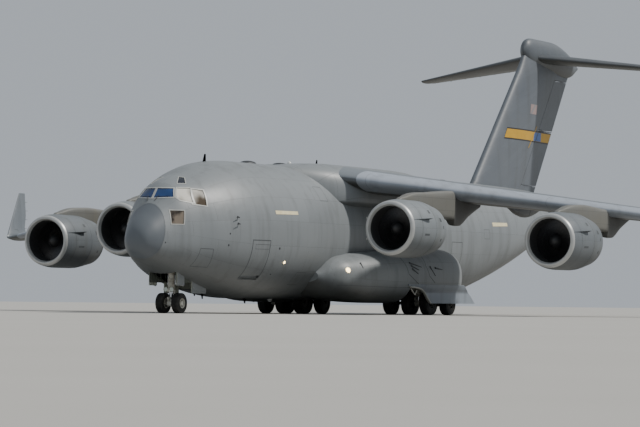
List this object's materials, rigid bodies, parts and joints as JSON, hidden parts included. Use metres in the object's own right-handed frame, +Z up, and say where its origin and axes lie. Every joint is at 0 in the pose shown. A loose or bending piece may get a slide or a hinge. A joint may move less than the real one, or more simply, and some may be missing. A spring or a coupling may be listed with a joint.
{
  "type": "military transport plane, 1:2 scale model",
  "caption": "High-wing T-tailed military transport plane with jet engines under the wing, winglets, gear pods, opening cargo ramp and doors, on its wheels.",
  "frame": {"origin": "on the ground under the symmetry plane, at half the overall length", "axes": "+Y along the fuselage to the tail, +X to port, +Z up"},
  "size_m": [25.905, 27.12, 8.3806],
  "materials": {
    "grey_paint": "matt",
    "dark_paint": "matt",
    "glass": "gloss",
    "trim": "matt",
    "hot_metal": "satin",
    "fan_metal": "satin",
    "tyre": "matt",
    "leg_paint": "gloss"
  },
  "bodies": {
    "airframe": {"radome": "grey_paint", "nose_section": "grey_paint", "flight_deck_glass": "glass", "flight_deck_seats": "trim", "fuselage_crown": "grey_paint", "forward_wall_port": "grey_paint", "forward_wall_starboard": "grey_paint", "aft_wall_port": "grey_paint", "aft_wall_starboard": "grey_paint", "cargo_floor": "dark_paint", "tail_section": "grey_paint", "wing_fairing": "grey_paint", "wing_port": "grey_paint", "wing_starboard": "grey_paint", "fin": "grey_paint", "tail_bullet": "grey_paint", "stabilizer": "grey_paint", "gear_pod_port": "grey_paint", "gear_pod_starboard": "grey_paint", "main_gear_legs_port": "leg_paint", "main_gear_legs_starboard": "leg_paint", "nose_gear_leg": "leg_paint", "engine_1_pylon": "grey_paint", "engine_1_nacelle": "grey_paint", "engine_1_core": "hot_metal", "engine_2_pylon": "grey_paint", "engine_2_nacelle": "grey_paint", "engine_2_core": "hot_metal", "engine_3_pylon": "grey_paint", "engine_3_nacelle": "grey_paint", "engine_3_core": "hot_metal", "engine_4_pylon": "grey_paint", "engine_4_nacelle": "grey_paint", "engine_4_core": "hot_metal"},
    "nose_gear_fork": {"nose_gear_fork": "leg_paint"},
    "nose_wheels": {"nose_wheels": "tyre"},
    "main_wheels_front_port": {"main_wheels_front_port": "tyre"},
    "main_wheels_rear_port": {"main_wheels_rear_port": "tyre"},
    "main_wheels_front_starboard": {"main_wheels_front_starboard": "tyre"},
    "main_wheels_rear_starboard": {"main_wheels_rear_starboard": "tyre"},
    "engine_1_fan": {"engine_1_fan": "fan_metal"},
    "engine_2_fan": {"engine_2_fan": "fan_metal"},
    "engine_3_fan": {"engine_3_fan": "fan_metal"},
    "engine_4_fan": {"engine_4_fan": "fan_metal"},
    "flap_inboard_port": {"flap_inboard_port": "dark_paint"},
    "flap_outboard_port": {"flap_outboard_port": "dark_paint"},
    "aileron_port": {"aileron_port": "grey_paint"},
    "elevator_port": {"elevator_port": "grey_paint"},
    "flap_inboard_starboard": {"flap_inboard_starboard": "dark_paint"},
    "flap_outboard_starboard": {"flap_outboard_starboard": "dark_paint"},
    "aileron_starboard": {"aileron_starboard": "grey_paint"},
    "elevator_starboard": {"elevator_starboard": "grey_paint"},
    "rudder_lower": {"rudder_lower": "grey_paint"},
    "rudder_upper": {"rudder_upper": "grey_paint"},
    "cargo_ramp": {"cargo_ramp": "grey_paint"},
    "cargo_door": {"cargo_door": "grey_paint"},
    "crew_door": {"crew_door": "grey_paint"}
  },
  "joints": [
    {"name": "nose_steering", "type": "hinge", "parent": "airframe", "child": "nose_gear_fork", "pos_m": [0, -11.775, 0.5], "axis": [0, 0, 1], "range_deg": [-65, 65]},
    {"name": "nose_wheels_spin", "type": "hinge", "parent": "nose_gear_fork", "child": "nose_wheels", "pos_m": [0, -11.775, 0.24912], "axis": [1, 0, 0], "continuous": true},
    {"name": "main_wheels_front_port_spin", "type": "hinge", "parent": "airframe", "child": "main_wheels_front_port", "pos_m": [1.9, -2.37, 0.3114], "axis": [1, 0, 0], "continuous": true},
    {"name": "main_wheels_rear_port_spin", "type": "hinge", "parent": "airframe", "child": "main_wheels_rear_port", "pos_m": [1.9, -1.14, 0.3114], "axis": [1, 0, 0], "continuous": true},
    {"name": "main_wheels_front_starboard_spin", "type": "hinge", "parent": "airframe", "child": "main_wheels_front_starboard", "pos_m": [-1.9, -2.37, 0.3114], "axis": [1, 0, 0], "continuous": true},
    {"name": "main_wheels_rear_starboard_spin", "type": "hinge", "parent": "airframe", "child": "main_wheels_rear_starboard", "pos_m": [-1.9, -1.14, 0.3114], "axis": [1, 0, 0], "continuous": true},
    {"name": "engine_1_fan_spin", "type": "hinge", "parent": "airframe", "child": "engine_1_fan", "pos_m": [7.4, -5.315, 1.905], "axis": [0, 1, 0], "continuous": true},
    {"name": "engine_2_fan_spin", "type": "hinge", "parent": "airframe", "child": "engine_2_fan", "pos_m": [3.93, -7.285, 2.175], "axis": [0, 1, 0], "continuous": true},
    {"name": "engine_3_fan_spin", "type": "hinge", "parent": "airframe", "child": "engine_3_fan", "pos_m": [-3.93, -7.285, 2.175], "axis": [0, 1, 0], "continuous": true},
    {"name": "engine_4_fan_spin", "type": "hinge", "parent": "airframe", "child": "engine_4_fan", "pos_m": [-7.4, -5.315, 1.905], "axis": [0, 1, 0], "continuous": true},
    {"name": "flap_inboard_port_hinge", "type": "hinge", "parent": "airframe", "child": "flap_inboard_port", "pos_m": [2.8, -1.62228, 2.84882], "axis": [-0.9451, -0.3105, 0.1023], "range_deg": [0, 40]},
    {"name": "flap_outboard_port_hinge", "type": "hinge", "parent": "airframe", "child": "flap_outboard_port", "pos_m": [5.65, -0.68605, 2.54031], "axis": [-0.9451, -0.3105, 0.1023], "range_deg": [0, 40]},
    {"name": "aileron_port_hinge", "type": "hinge", "parent": "airframe", "child": "aileron_port", "pos_m": [10.45, 0.97092, 2.3834], "axis": [-0.9459, -0.305, 0.1106], "range_deg": [-20, 20]},
    {"name": "elevator_port_hinge", "type": "hinge", "parent": "airframe", "child": "elevator_port", "pos_m": [2.5, 12.53844, 7.60273], "axis": [-0.9579, -0.2737, 0.0871], "range_deg": [-20, 20]},
    {"name": "flap_inboard_starboard_hinge", "type": "hinge", "parent": "airframe", "child": "flap_inboard_starboard", "pos_m": [-2.8, -1.62228, 2.84882], "axis": [-0.9451, 0.3105, -0.1023], "range_deg": [0, 40]},
    {"name": "flap_outboard_starboard_hinge", "type": "hinge", "parent": "airframe", "child": "flap_outboard_starboard", "pos_m": [-5.65, -0.68605, 2.54031], "axis": [-0.9451, 0.3105, -0.1023], "range_deg": [0, 40]},
    {"name": "aileron_starboard_hinge", "type": "hinge", "parent": "airframe", "child": "aileron_starboard", "pos_m": [-10.45, 0.97092, 2.3834], "axis": [-0.9459, 0.305, -0.1106], "range_deg": [-20, 20]},
    {"name": "elevator_starboard_hinge", "type": "hinge", "parent": "airframe", "child": "elevator_starboard", "pos_m": [-2.5, 12.53844, 7.60273], "axis": [-0.9579, 0.2737, -0.0871], "range_deg": [-20, 20]},
    {"name": "rudder_lower_hinge", "type": "hinge", "parent": "airframe", "child": "rudder_lower", "pos_m": [0, 9.60301, 4.75], "axis": [0, 0.6099, 0.7925], "range_deg": [-25, 25]},
    {"name": "rudder_upper_hinge", "type": "hinge", "parent": "airframe", "child": "rudder_upper", "pos_m": [0, 10.87275, 6.4], "axis": [0, 0.6099, 0.7925], "range_deg": [-25, 25]},
    {"name": "cargo_ramp_hinge", "type": "hinge", "parent": "airframe", "child": "cargo_ramp", "pos_m": [0, 2.225, 0.435], "axis": [-1, 0, 0], "range_deg": [0, 20]},
    {"name": "cargo_door_hinge", "type": "hinge", "parent": "airframe", "child": "cargo_door", "pos_m": [0, 8.09, 2.365], "axis": [-1, 0, 0], "range_deg": [0, 30]},
    {"name": "crew_door_hinge", "type": "hinge", "parent": "airframe", "child": "crew_door", "pos_m": [1.201, -10.14, 0.9125], "axis": [0.1145, 0.9934, 0], "range_deg": [0, 125]}
  ],
  "couplings": [
    {"joint": "flap_outboard_port_hinge", "follows": "flap_inboard_port_hinge", "ratio": 1},
    {"joint": "flap_inboard_starboard_hinge", "follows": "flap_inboard_port_hinge", "ratio": 1},
    {"joint": "flap_outboard_starboard_hinge", "follows": "flap_inboard_port_hinge", "ratio": 1}
  ]
}
